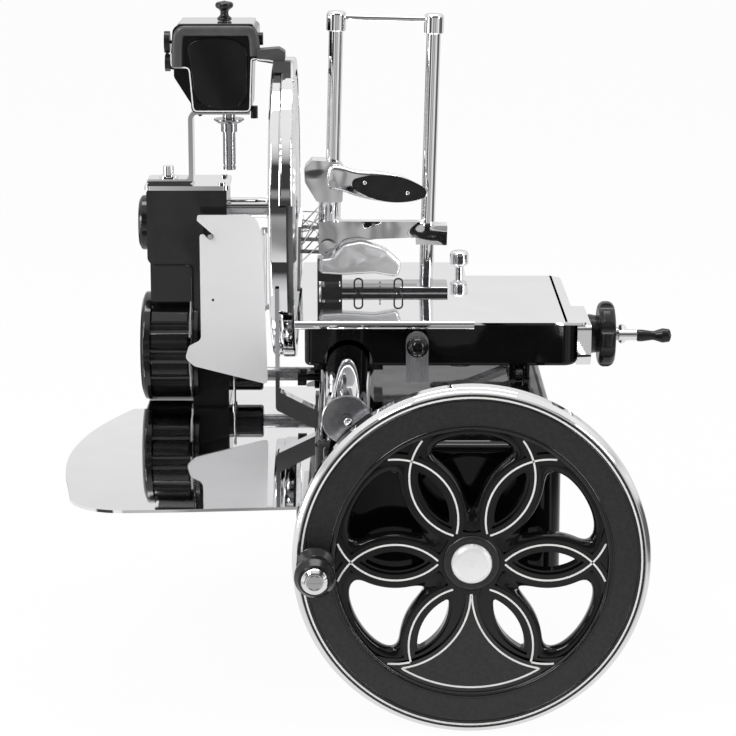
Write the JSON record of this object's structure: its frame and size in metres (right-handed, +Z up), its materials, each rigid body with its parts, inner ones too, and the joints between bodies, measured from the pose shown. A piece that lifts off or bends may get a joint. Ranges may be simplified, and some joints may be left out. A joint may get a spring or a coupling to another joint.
{
  "type": "hand crank meat slicer",
  "caption": "Hand cranked slicer: a spoked flywheel turns a guarded round blade by bevel gears and a chain while the meat table slides past it.",
  "frame": {"origin": "centre of the four mounting bolts on the underside of the base", "axes": "+Z up, +X from the slice tray towards the feed handwheel, +Y away from the operator, who stands at the flywheel"},
  "size_m": [0.6478, 0.7115, 0.6843],
  "materials": {
    "enamel": "gloss black enamel",
    "mirror_steel": "mirror polished stainless steel",
    "chrome": "polished chrome plate",
    "shaft_steel": "ground steel",
    "bronze": "sintered bronze",
    "cast": "gloss black enamel on cast iron",
    "grip": "polished black resin"
  },
  "bodies": {
    "base": {"base_casting": "enamel", "base_cover": "shaft_steel", "deck_plate": "mirror_steel", "receiving_tray": "mirror_steel", "drive_column": "enamel", "column_cap": "mirror_steel", "upper_round_cover": "enamel", "blade_shaft_housing": "chrome", "shaft_bushes": "bronze", "drive_chain": "shaft_steel", "guide_rod": "chrome", "guide_rod_caps": "chrome", "blade_guard": "chrome", "blade_cover": "mirror_steel", "guard_strap": "chrome", "deflector_bracket": "chrome", "screws_and_pins": "chrome", "sharpener_housing": "enamel", "sharpener_cover": "chrome", "sharpener_bracket": "chrome", "sharpener_arm": "enamel"},
    "flywheel": {"flywheel": "cast", "flywheel_rim": "chrome", "flywheel_hub_cap": "chrome", "flywheel_shaft": "shaft_steel", "handle_pin": "chrome"},
    "handle_grip": {"handle_grip": "grip"},
    "crank": {"crank": "shaft_steel", "bevel_wheels": "shaft_steel"},
    "cross_shaft": {"cross_shaft": "shaft_steel"},
    "blade": {"blade": "mirror_steel", "blade_spindle": "shaft_steel"},
    "carriage": {"carriage_body": "enamel", "carriage_cover": "mirror_steel", "rod_sleeve": "enamel", "carriage_end_block": "chrome", "release_lever": "chrome"},
    "support_roller": {"support_roller": "shaft_steel"},
    "connecting_rod": {"connecting_rod": "shaft_steel"},
    "release_knob": {"release_knob": "grip"},
    "feed_wheel": {"feed_screw": "shaft_steel", "feed_handwheel": "grip", "handwheel_boss": "chrome"},
    "feed_grip": {"feed_grip": "grip"},
    "meat_table": {"meat_table": "mirror_steel", "feed_nut": "bronze", "table_rail": "chrome", "meat_posts": "chrome", "post_bridge": "chrome", "post_bar": "chrome"},
    "table_knob": {"table_knob": "chrome"},
    "meat_clamp": {"clamp_slider": "chrome", "press_plate": "mirror_steel"},
    "clamp_handle": {"clamp_handle": "chrome", "grip_scale": "grip"},
    "pear_lever": {"pear_lever": "chrome"},
    "thickness_wheel": {"thickness_wheel": "enamel"},
    "deflector": {"deflector": "mirror_steel"},
    "sharpener_plunger": {"sharpener_plunger": "chrome"},
    "sharpener_trigger": {"sharpener_trigger": "grip"}
  },
  "joints": [
    {"name": "flywheel_spin", "type": "hinge", "parent": "base", "child": "flywheel", "pos_m": [0.05, -0.262, 0.0285], "axis": [0, 1, 0], "continuous": true},
    {"name": "handle_spin", "type": "hinge", "parent": "flywheel", "child": "handle_grip", "pos_m": [-0.103, -0.35, 0.0285], "axis": [0, 1, 0], "continuous": true},
    {"name": "crank_spin", "type": "hinge", "parent": "base", "child": "crank", "pos_m": [0.05, 0.158, 0.07], "axis": [0, 0, 1], "continuous": true},
    {"name": "cross_shaft_spin", "type": "hinge", "parent": "base", "child": "cross_shaft", "pos_m": [-0.1, 0.158, 0.108], "axis": [1, 0, 0], "continuous": true},
    {"name": "blade_spin", "type": "hinge", "parent": "base", "child": "blade", "pos_m": [-0.133, 0.158, 0.302], "axis": [1, 0, 0], "continuous": true},
    {"name": "carriage_travel", "type": "slide", "parent": "base", "child": "carriage", "axis": [0, 1, 0], "range_m": [-0.095, 0.052]},
    {"name": "roller_spin", "type": "hinge", "parent": "carriage", "child": "support_roller", "pos_m": [0.112, -0.01, 0.1498], "axis": [1, 0, 0], "continuous": true},
    {"name": "connecting_rod_swing", "type": "hinge", "parent": "carriage", "child": "connecting_rod", "pos_m": [0.05, 0.04, 0.149], "axis": [0, 0, 1], "range_deg": [0, 64.8]},
    {"name": "release_pull", "type": "slide", "parent": "carriage", "child": "release_knob", "axis": [0, -1, 0], "range_m": [0, 0.008]},
    {"name": "table_feed", "type": "slide", "parent": "carriage", "child": "meat_table", "axis": [1, 0, 0], "range_m": [0, 0.12]},
    {"name": "feed_wheel_turn", "type": "hinge", "parent": "carriage", "child": "feed_wheel", "pos_m": [0.18, 0.03, 0.183], "axis": [1, 0, 0], "range_deg": [0, 4320]},
    {"name": "feed_grip_spin", "type": "hinge", "parent": "feed_wheel", "child": "feed_grip", "pos_m": [0.26, 0.021, 0.183], "axis": [1, 0, 0], "continuous": true},
    {"name": "table_knob_turn", "type": "hinge", "parent": "meat_table", "child": "table_knob", "pos_m": [0.055, 0.236, 0.22], "axis": [0, 0, 1], "range_deg": [0, 720]},
    {"name": "clamp_lift", "type": "slide", "parent": "meat_table", "child": "meat_clamp", "axis": [0.0262, 0, 0.9997], "range_m": [0, 0.14]},
    {"name": "clamp_handle_tilt", "type": "hinge", "parent": "meat_clamp", "child": "clamp_handle", "pos_m": [-0.09175, 0.126, 0.33496], "axis": [0, 1, 0], "range_deg": [-8, 0]},
    {"name": "pear_lever_swing", "type": "hinge", "parent": "meat_table", "child": "pear_lever", "pos_m": [-0.09416, 0.126, 0.24299], "axis": [0, 1, 0], "range_deg": [-30, 0]},
    {"name": "thickness_turn", "type": "hinge", "parent": "base", "child": "thickness_wheel", "pos_m": [-0.28, 0.158, 0.142], "axis": [1, 0, 0], "range_deg": [0, 270]},
    {"name": "deflector_swing", "type": "hinge", "parent": "base", "child": "deflector", "pos_m": [-0.168, 0.0925, 0.24], "axis": [0, 0, 1], "range_deg": [0, 40]},
    {"name": "plunger_lift", "type": "slide", "parent": "base", "child": "sharpener_plunger", "axis": [0, 0, 1], "range_m": [0, 0.006]},
    {"name": "trigger_swing", "type": "hinge", "parent": "base", "child": "sharpener_trigger", "pos_m": [-0.274, 0.125, 0.493], "axis": [1, 0, 0], "range_deg": [0, 60]}
  ],
  "couplings": [
    {"joint": "crank_spin", "follows": "flywheel_spin", "ratio": 0.4},
    {"joint": "cross_shaft_spin", "follows": "flywheel_spin", "ratio": -1},
    {"joint": "blade_spin", "follows": "flywheel_spin", "ratio": -3},
    {"joint": "feed_wheel_turn", "follows": "table_feed", "rad_per_m": 628.32}
  ]
}
